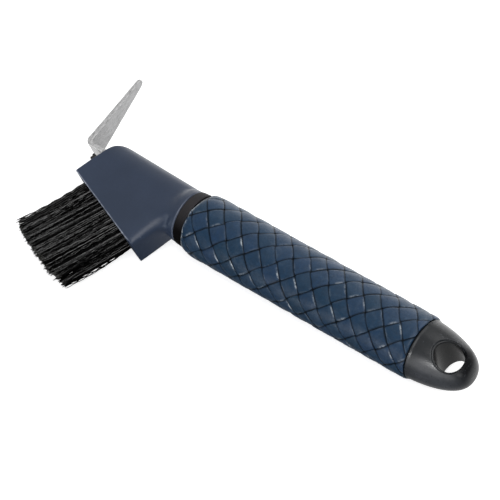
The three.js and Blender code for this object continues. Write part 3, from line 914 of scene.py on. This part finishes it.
def build_packing():
    """rubber wedged under the strip, squeezed out of the slot in lumps"""
    bottom, top = -0.8, PICK_Y0 - 0.3
    # (y, x from the nose face) round the section
    outline = [(top, 3.1), (top, -0.3), (2.6, -0.45), (2.2, -0.8), (1.75, -1.95),
               (1.1, -2.05), (0.5, -1.75), (-0.2, -1.7), (bottom, -1.1), (bottom, 3.1)]
    ob = prism_z("slot_packing_rubber", [(nose_x(y) + dx, y) for y, dx in outline], -7.05, 7.05)
    for x, y, z, radius in PACKING_LUMPS:
        bm = bmesh.new()
        bmesh.ops.create_icosphere(bm, subdivisions=3, radius=radius,
                                   matrix=Matrix.Translation((x, y, z)))
        mesh = bpy.data.meshes.new("t_lump")
        bm.to_mesh(mesh)
        bm.free()
        boolean(ob, link_mesh("t_lump", mesh), "UNION")
    remesh(ob, voxel=0.2, rounds=2)
    # draw the part outside the nose in and out across the width
    co = get_verts(ob).astype(np.float64)
    x, y, z = co.T
    out = nose_x(y) - x
    lump = (0.62 + 0.38 * np.cos((z - 7.0) * 1.55) * np.cos((z - 7.0) * 0.31)
            + 0.10 * np.sin(z * 4.7 + y * 3.1))
    lump = np.where(z > 6.0, 1.0, np.clip(lump, 0.3, 1.0))
    co[:, 0] += np.where(out > 0, out * (1 - lump), 0)
    set_verts(ob, co)
    finish_piece(ob, "slot_packing", PACKING)


# ------------------------------------------------------------------ bristles
FILAMENTS = 62
TUBE_SIDES, TUBE_STEPS = 5, (36)
GOLDEN_ANGLE = 2.399963
ROOT_SPREAD, TIP_SPREAD = 1.76, 2.75       # tuft radius at the hole and at the tips
FIRST, LAST = 0, COLS - 1
TIP_TRIM = {FIRST: 0.9, LAST: 1.7}         # the end columns are shorter
SAG = {0: 0.9, 1: 0.5}                     # the columns by the nose bow along the face


def filament(index, row, col, root, out, across, tilt, clumps):
    """centre points and radius of one crimped filament"""
    rad = math.sqrt((index + 0.5) / FILAMENTS)
    ang = index * GOLDEN_ANGLE + rng.uniform(-0.2, 0.2) + row + col
    off = (across * math.cos(ang) + SIDE * math.sin(ang)) * rad
    spread = TIP_SPREAD + rng.uniform(-0.4, 0.4)
    free = (TUFT_FREE - 0.3 + 0.45 * math.sin(2.1 * col + 1.7 * row) + rng.gauss(0, 0.6)
            - 0.1 * rad * rad - TIP_TRIM.get(col, 0.0))
    radius = rng.uniform(0.165, 0.25)
    clump = clumps[int(ang * 4 / 6.2832) % 4]
    bend = ((across * clump.x + SIDE * clump.y) * 0.12
            + (across * rng.gauss(0, 1) + SIDE * rng.gauss(0, 1)) * 0.34)
    if col == FIRST:
        bend += FACE_DIR * (0.28 - 0.8 * min(bend.dot(FACE_DIR), 0.0))
    elif col == LAST:
        bend -= FACE_DIR * 0.8 * max(bend.dot(FACE_DIR), 0.0)
    stray = 0.0
    if col == LAST and rad > 0.6 and rng.random() < 0.16:
        stray = rng.uniform(0.7, 1.5)
    elif rng.random() < 0.015:
        bend *= 2.6
    crimp = rng.uniform(0.08, 0.24)
    wavelength = rng.uniform(4.2, 7.2)
    phase = rng.uniform(0, 6.28)
    crimp_dir = across * math.cos(phase * 3) + SIDE * math.sin(phase * 3)
    start = -3.0                           # inside the hole
    pts = []
    for s in range(TUBE_STEPS + 1):
        d = start + (free - start) * s / TUBE_STEPS
        t = max(d, 0) / TUFT_FREE
        p = (root + out * d + off * (ROOT_SPREAD + (spread - ROOT_SPREAD) * t ** 1.15)
             + tilt * max(d, 0))
        p += bend * t * t * 1.5
        p += FACE_DIR * (stray * math.sin(math.pi * min(t * 1.02, 1)) ** 1.2)
        p += FACE_DIR * (SAG.get(col, 0.0) * math.sin(math.pi * min(t, 1)))
        wave = math.sin(2 * math.pi * d / wavelength + phase)
        p += crimp_dir * (crimp * wave * min(1, max(d, 0) / 3))
        pts.append(p)
    return pts, radius


def tube_rings(pts, radius, u):
    """vertices round each point, u being the starting direction across the tube"""
    verts = []
    last = len(pts) - 1
    for s, p in enumerate(pts):
        tangent = (pts[min(s + 1, last)] - pts[max(s - 1, 0)]).normalized()
        u = (u - tangent * u.dot(tangent)).normalized()
        v = tangent.cross(u)
        r = radius * (0.80 if s == last else 1.0)
        for k in range(TUBE_SIDES):
            a = 2 * math.pi * k / TUBE_SIDES
            verts.append(p + (u * math.cos(a) + v * math.sin(a)) * r)
    return verts


def build_tufts():
    """each tuft is a bundle of filaments, every filament a closed tube set in its hole"""
    body_verts = TUBE_STEPS * TUBE_SIDES
    for row, col, root, out, across in tuft_places():
        tilt = (FACE_DIR * rng.uniform(-0.010, 0.010)
                + SIDE * ((row - 1) * 0.008 + rng.uniform(-0.012, 0.012)))
        if col == LAST:
            tilt += FACE_DIR * 0.026
        clumps = [Vector((rng.gauss(0, 1), rng.gauss(0, 1), 0)) for _ in range(4)]
        verts, faces, strand, tipness = [], [], [], []
        for index in range(FILAMENTS):
            pts, radius = filament(index, row, col, root, out, across, tilt, clumps)
            base = len(verts)
            verts += tube_rings(pts, radius, across)
            strand += [rng.random()] * (body_verts + TUBE_SIDES)
            tipness += [0.0] * body_verts + [1.0] * TUBE_SIDES
            faces.append(ring(base, TUBE_SIDES)[::-1])
            for a in range(base, base + body_verts, TUBE_SIDES):
                faces += ring_quads(a, a + TUBE_SIDES, TUBE_SIDES)
            faces.append(ring(base + body_verts, TUBE_SIDES))
        place = f"row{row + 1}_{col + 1}"
        ob = new_mesh(f"bristles_{place}", verts, faces)
        add_floats(ob, strand=strand, tipness=tipness)
        finish_piece(ob, f"tuft_{place}", BRISTLE)


# ------------------------------------------------------------------ collar
def build_collar():
    bore = SPIGOT_R + 0.3
    profile = [(COLLAR_X0, r) for r in (bore, 9.0, 11.0, 12.4)]
    profile += [(COLLAR_X0 + 0.45 * (1 - math.cos(a)), 12.55 + 0.45 * math.sin(a))
                for a in np.linspace(0.1, math.pi / 2, 7)]
    profile += [(1.2, 13.06), (2.2, 13.14), (3.4, 13.22), (4.5, 13.28)]
    profile += [(COLLAR_X1 - 0.35 + 0.35 * math.sin(a), 12.93 + 0.35 * math.cos(a))
                for a in np.linspace(0.1, math.pi / 2, 6)]
    profile += [(COLLAR_X1, 12.0), (COLLAR_X1, SHOULDER_R), (9.0, SHOULDER_R), (9.0, bore)]
    ob = lathe_x("collar_ring", profile, 160, closed=True)
    return finish_piece(ob, "collar", COLLAR)


# ------------------------------------------------------------------ woven grip
# (across the strap in half widths, through it in thicknesses), once round the section
STRAP_SECTION = (
    [(-1, 0.0), (-0.994, 0.27)]
    + [(q, 0.5) for q in (-0.975, -0.90, -0.72, -0.48, -0.24, 0.0,
                          0.24, 0.48, 0.72, 0.90, 0.975)]
    + [(0.994, 0.27), (1, 0.0), (0.99, -0.35), (0.8, -0.5), (0.0, -0.5), (-0.8, -0.5),
       (-0.99, -0.35)])
CELL_RANDOM = np.random.default_rng(77).uniform(-1, 1, (4096, 4))


def base_radius(x):
    """mid radius of the weave, pulled in at the front edge and slightly at the rear edge"""
    front = 1.15 * (1 - np.clip((x - GRIP_X0) / 5.2, 0, 1)) ** 2.2
    rear = 0.55 * (1 - np.clip((GRIP_X1 - x) / 1.8, 0, 1)) ** 2
    return GRIP_R + 0.05 - WAVE - THICK / 2 - front - rear


def trim_strap(ob, index):
    """cut both ends to the grip and close them"""
    bm = bmesh.new()
    bm.from_mesh(ob.data)
    bmesh.ops.recalc_face_normals(bm, faces=bm.faces)
    for plane_x, outward in ((GRIP_X0 + 0.1, -1), (GRIP_X1 - 0.1, 1)):
        cut = bmesh.ops.bisect_plane(
            bm, geom=bm.verts[:] + bm.edges[:] + bm.faces[:], dist=1e-5,
            plane_co=(plane_x, 0, 0), plane_no=(outward, 0, 0), clear_outer=True)
        edges = [e for e in cut["geom_cut"] if isinstance(e, bmesh.types.BMEdge)]
        bmesh.ops.holes_fill(bm, edges=edges, sides=0)
    # the front ends are not square: they stand back from the collar round the upper side
    for v in bm.verts:
        a = math.degrees(math.atan2(v.co.z, v.co.y))
        back = (1.25 * math.exp(-((a - 58) / 26) ** 4)
                + 0.16 * (1 + math.sin(math.radians(a) * 5 + index)))
        v.co.x += back * math.exp(-max(v.co.x - GRIP_X0, 0) / 1.6)
    bm.to_mesh(ob.data)
    bm.free()


def build_strap(family, i):
    """one strap as a closed body that passes over and under the others"""
    first = family == "a"
    along = (PITCH_X, STEP_A if first else STEP_B)        # one cell along the strap
    beside = (PITCH_X, STEP_B if first else STEP_A)       # one cell to the next strap
    cell_area = PITCH_X * (STEP_A - STEP_B)
    strap_mm = cell_area / np.hypot(*along)
    cell_mm = cell_area / np.hypot(*beside)
    shift = weave_rng.uniform(-0.012, 0.012)
    # the run that covers the grip, with a margin to be cut away
    u0 = math.floor((GRIP_X0 - 2.5 - CROSSING[0]) / PITCH_X - (i + 1))
    u1 = math.ceil((GRIP_X1 + 2.5 - CROSSING[0]) / PITCH_X - i)
    n = (u1 - u0) * 9
    run = u0 + (u1 - u0) * np.arange(n + 1) / n
    u, v = np.meshgrid(run, np.array([STRAP_HALF * q for q, _ in STRAP_SECTION]),
                       indexing="ij")
    depth = np.broadcast_to(np.array([t for _, t in STRAP_SECTION]) * THICK, u.shape)
    outer = depth > 0.1
    cell = np.floor(u).astype(int)
    f = u - cell                                          # 0 to 1 within a cell
    vn = v / STRAP_HALF                                   # -1 to 1 across the strap
    over = np.cos(np.pi * (u - 0.5)) * (1.0 if (i % 2 == 0) == first else -1.0)
    rnd = CELL_RANDOM[(cell * 131 + i * 977 + (7 if first else 3000)) % 4096]

    # height: over and under, slight cup, raised lips, and a bulge, tilt and twist per cell
    h = WAVE * np.sign(over) * np.abs(over) ** 0.62
    window = np.sin(np.pi * f) ** 0.8
    up = (over > 0).astype(float)
    edge_lip = np.exp(-((np.abs(vn) - 0.86) / 0.07) ** 2)
    h = h - 0.10 * vn ** 2 - 0.13 * np.abs(vn) ** 10 + 0.05 * edge_lip * up * window
    h = h + window * up * (0.055 * rnd[..., 0] + 0.10 * rnd[..., 1] * vn
                           + 0.04 * rnd[..., 2] * (f - 0.5) * 2)

    # place across: wider on top, with a wandering centre line
    full = 1 + (0.060 + 0.025 * rnd[..., 0]) * np.clip(over * 1.6, -1, 1)
    lateral = (i + 0.5 + v * full + shift * (1 + 0.5 * np.sin(0.9 * u + i))
               + 0.014 * np.sin(1.7 * u + 2.1 * i)
               + 0.010 * np.sin(2 * np.pi * u + 3.3 * i + 0.6))
    x, arc = (CROSSING[k] + u * along[k] + lateral * beside[k] for k in range(2))
    theta = arc / WEAVE_R
    # the front edge of the grip is not perfectly straight
    x = x + 0.25 * np.sin(3 * theta + 0.7) * np.exp(-((x - GRIP_X0) / 4.0) ** 2)
    radius = base_radius(x) + h + depth
    co = np.stack([x, radius * np.cos(theta), radius * np.sin(theta)], -1).reshape(-1, 3)

    # seam: 0 at the outline of each visible cell
    edge_mm = (STRAP_HALF - np.abs(v)) * strap_mm
    near = np.minimum(edge_mm + 0.02, np.minimum(f, 1 - f) * cell_mm)
    seam = np.clip((near - 0.03) / (0.19 + 0.07 * rnd[..., 1]), 0, 1)
    seam = np.where(outer, seam, 0.0)
    # painted glints on strap edges, strongest on the edge toward the cap, varied round the
    # handle and placed mostly on the side where light catches them
    deg = (np.degrees(theta) + 180) % 360 - 180
    if first:
        low = np.clip((deg - 72) / 26, 0, 1)
    else:
        low = 0.45 + 0.35 * np.clip((deg - 60) / 40, 0, 1)
    lip = (np.exp(-((edge_mm - 0.27) / 0.13) ** 2) * np.clip((over - 0.15) / 0.4, 0, 1)
           * outer * np.clip(0.6 + 1.0 * rnd[..., 3], 0, 1) * np.where(vn > 0, 1, 0.15))
    lip = (lip * np.where(deg < -70, 0.5, low)
           * np.exp(-((f - 0.5 - 0.2 * rnd[..., 2]) / 0.27) ** 4))
    # painted highlight along the front ends of the straps
    lip = np.maximum(lip, 0.75 * np.exp(-((x - GRIP_X0 - 0.25) / 0.3) ** 2) * outer)
    tint = np.clip(0.5 + 0.5 * rnd[..., 2] + (0.12 if first else -0.12), 0, 1)

    m = len(STRAP_SECTION)
    faces = []
    for s in range(n):
        faces += ring_quads(s * m, (s + 1) * m, m)
    faces += [ring(0, m)[::-1], ring(n * m, m)]
    ob = new_mesh(f"grip_strap_{family}{i + 1}", co, faces)
    add_floats(ob, seam=seam, lip=lip, tint=tint)
    trim_strap(ob, i)
    return finish_piece(ob, "grip_sleeve", LEATHER)


def build_liner():
    """closed sleeve under the straps"""
    front, rear, bore = GRIP_X0 + 0.15, GRIP_X1 - 0.15, 11.8
    xs = np.concatenate([np.linspace(front, GRIP_X0 + 6, 14),
                         np.linspace(GRIP_X0 + 8, rear, 60)])
    profile = [(float(x), float(base_radius(x) - WAVE - THICK / 2 + 0.05)) for x in xs]
    profile += [(x, bore) for x in (rear, 90.0, 50.0, front)]
    ob = lathe_x("grip_liner", profile, 128, closed=True)
    finish_piece(ob, "grip_sleeve", LINER)


# ------------------------------------------------------------------ end cap
CAP_FRONT = 128.5


def cap_radius(x):
    """superellipse dome"""
    start, radius, power, root = 126.75, 14.01, 1.735, 0.37
    return radius * max(1 - ((x - start) / (CAP_END - start)) ** power, 0.0) ** root


def build_cap():
    front = CAP_FRONT
    xs = [front + (CAP_END - front) * (1 - (1 - t) ** 2.4) for t in np.linspace(0, 1, 90)]
    xs = xs[1:-1]
    profile = [(104, 0), (104, 6.2), (105, SPIGOT_R), (120.3, SPIGOT_R), (120.3, SHOULDER_R),
               (front, SHOULDER_R), (front, 13.55), (front + 0.12, 13.95),
               (front + 0.35, 14.16), (front + 0.62, 14.17), (front + 0.9, 14.03)]
    profile += [(x, cap_radius(x)) for x in xs if x > front + 1.1]
    profile.append((CAP_END, 0))
    ob = lathe_x("end_cap_body", profile, 192)
    # shallow rim, following the surface, round each mouth of the hole
    rim = cylinder_z("t_rim", EYE_X, EYE_R + 1.0)
    inner = [(front - 4, 0), (front - 4, 13.1)]
    inner += [(x, max(cap_radius(x) - 0.9, 0.3)) for x in [front] + xs if x < CAP_END - 1.0]
    inner.append((CAP_END - 0.95, 0))
    boolean(rim, lathe_x("t_inner", inner, 192), "DIFFERENCE")
    boolean(ob, rim, "DIFFERENCE")
    boolean(ob, cylinder_z("t_eye", EYE_X, EYE_R), "DIFFERENCE")
    remesh(ob, voxel=0.18, rounds=3)
    return finish_piece(ob, "end_cap", CAP)


head = build_head()
pick = build_pick()
build_packing()
build_tufts()
collar = build_collar()
straps = [build_strap(family, i) for family in ("a", "b") for i in range(STRAPS)]
build_liner()
cap = build_cap()

# carried-over core, hidden inside the grip
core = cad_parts["handle_core"]
core.data.materials.clear()
core.data.materials.append(CORE)


# ------------------------------------------------------------------ floor, light, camera
def mat_floor():
    m = Mat("floor_mat")
    m.set(Base_Color=(0.80, 0.80, 0.80, 1.0),
          Roughness=m.ramp(m.noise(scale=0.02), span=(0.3, 0.7), to=(0.75, 0.85)),
          Specular_IOR_Level=0.2, Emission_Color=(1.0, 1.0, 1.0, 1.0), Emission_Strength=0.70)
    # in reflections the floor falls off to dark toward -Y, as past the edge of a light table
    y = m.split(m.geometry("Position"))["Y"]
    glow = m.node("ShaderNodeEmission")
    m.put(glow.inputs["Strength"], m.ramp(y, span=(-0.020, 0.030), to=(0.03, 1.75)))
    path = m.node("ShaderNodeLightPath")
    mix = m.node("ShaderNodeMixShader")
    m.link(path.outputs["Is Glossy Ray"], mix.inputs[0])
    m.link(m.bsdf.outputs["BSDF"], mix.inputs[1])
    m.link(glow.outputs["Emission"], mix.inputs[2])
    m.link(mix.outputs[0], m.out.inputs["Surface"])
    return m.material


def build_floor(half=3.0):
    corners = [(x, y, 0) for x, y in rect(-half, -half, half, half)]
    floor = new_mesh("floor_sheet", corners, [(0, 1, 2, 3)])
    floor.location = (0, 0, min(CAD_LO.z, 0.0) - 0.0002)
    floor.data.materials.append(mat_floor())


def build_world():
    """white surround, brightest behind the top edge of the view"""
    world = bpy.data.worlds.new("studio_world")
    world.use_nodes = True
    nodes, links = world.node_tree.nodes, world.node_tree.links
    background = nodes["Background"]
    coord = nodes.new("ShaderNodeTexCoord")
    facing = nodes.new("ShaderNodeVectorMath")
    facing.operation = "DOT_PRODUCT"
    facing.inputs[1].default_value = (-0.445, 0.860, 0.250)
    links.new(coord.outputs["Generated"], facing.inputs[0])
    total = nodes.new("ShaderNodeMath")
    # a broad gradient plus a soft hot spot
    for index, (kind, span, to) in enumerate((("LINEAR", (-0.55, 1.0), (0.04, 0.72)),
                                              ("SMOOTHSTEP", (0.87, 1.0), (0.0, 0.2)))):
        ramp = nodes.new("ShaderNodeMapRange")
        ramp.interpolation_type = kind
        ramp.inputs["From Min"].default_value, ramp.inputs["From Max"].default_value = span
        ramp.inputs["To Min"].default_value, ramp.inputs["To Max"].default_value = to
        links.new(facing.outputs["Value"], ramp.inputs["Value"])
        links.new(ramp.outputs["Result"], total.inputs[index])
    background.inputs["Color"].default_value = (1.0, 1.0, 1.0, 1.0)
    links.new(total.outputs[0], background.inputs["Strength"])
    bpy.context.scene.world = world


def area(name, aim, offset, size, power, size_y=None):
    """area light at aim + offset, turned to aim"""
    light = bpy.data.lights.new(name, "AREA")
    light.energy = power
    light.size = size
    if size_y:
        light.shape = "RECTANGLE"
        light.size_y = size_y
    ob = link_mesh(name, light)
    ob.location = aim + offset
    ob.rotation_mode = "QUATERNION"
    ob.rotation_quaternion = (aim - (aim + offset)).to_track_quat("-Z", "Y")
    return ob


def accent(name, pieces, spot, toward, reach, size, power, size_y=None):
    """a small light that falls on the given pieces alone; spot is in metres from ORG"""
    light = area(name, ORG + Vector(spot), Vector(toward) * reach, size, power, size_y)
    group = bpy.data.collections.new(name + "_receivers")
    for piece in pieces:
        group.objects.link(piece)
    light.light_linking.receiver_collection = group
    return light


def build_lights():
    centre = (CAD_LO + CAD_HI) / 2
    area("overhead_soft", centre, Vector((0.62, -0.15, 1.15)), size=1.1, power=13.0)
    area("overhead_back", centre, Vector((0.25, 0.95, 0.95)), size=0.9, power=5.0)
    on_cap = (0.1394, -0.0077, 0.0099)
    on_grip = (0.07, -0.010, 0.010)
    accent("front_box", [cap], on_cap, toward=(0.09, -0.80, 0.59), reach=0.95,
           size=0.16, power=3.9, size_y=0.12)
    accent("cap_fill", [cap], on_cap, toward=(0.10, -0.95, 0.04), reach=0.8,
           size=0.9, power=6.5)
    accent("low_strip", straps, on_grip, toward=(-0.033, -0.963, 0.256), reach=0.8,
           size=0.16, power=1.1, size_y=0.04)
    accent("low_fill", straps, on_grip, toward=(-0.15, -0.95, 0.05), reach=0.8,
           size=0.6, power=1.6)
    accent("end_box", [cap], (0.1515, -0.0038, 0.0067), toward=(0.81, -0.47, 0.35),
           reach=0.95, size=0.22, power=1.1)
    accent("back_low", straps, on_grip, toward=(0.10, 0.97, 0.16), reach=0.9,
           size=0.6, power=1.6)
    accent("collar_soft", [collar], (0.005, 0.0, 0.0), toward=(0.05, 0.42, 0.90),
           reach=0.8, size=0.5, power=5.0)
    accent("heel_box", [pick], (-0.060, 0.0047, 0.0), toward=(-0.10, -0.93, 0.35),
           reach=0.7, size=0.25, power=6.0)
    neck_box = accent("neck_box", [head], (-0.008, -0.008, 0.006),
                      toward=(-0.25, -0.87, 0.38), reach=0.8, size=0.9, power=4.1)
    neck_box.data.color = (0.88, 0.94, 1.0)


def build_camera():
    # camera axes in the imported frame
    right = (0.7824870924389318, 0.575909682371563, -0.23673189036788522)
    up = (-0.44091445859124456, 0.7809316155660095, 0.4424254197202649)
    back = (0.43966850054519113, -0.24181366702514612, 0.8649958150581976)
    place = ORG + Vector((510.94517, -261.87185, 938.780746)) * 0.001
    camera = bpy.data.cameras.new("camera")
    ob = link_mesh("camera", camera)
    ob.matrix_world = Matrix((*zip(right, up, back, place), (0, 0, 0, 1)))
    camera.sensor_width = 36.0
    camera.lens = 176.349
    camera.clip_start = 0.05
    camera.clip_end = 20
    bpy.context.scene.camera = ob


build_floor()
build_world()
build_lights()
build_camera()

view = bpy.context.scene.view_settings
view.view_transform = "Standard"
view.look = "None"
view.exposure = 0.0
view.gamma = 1.0
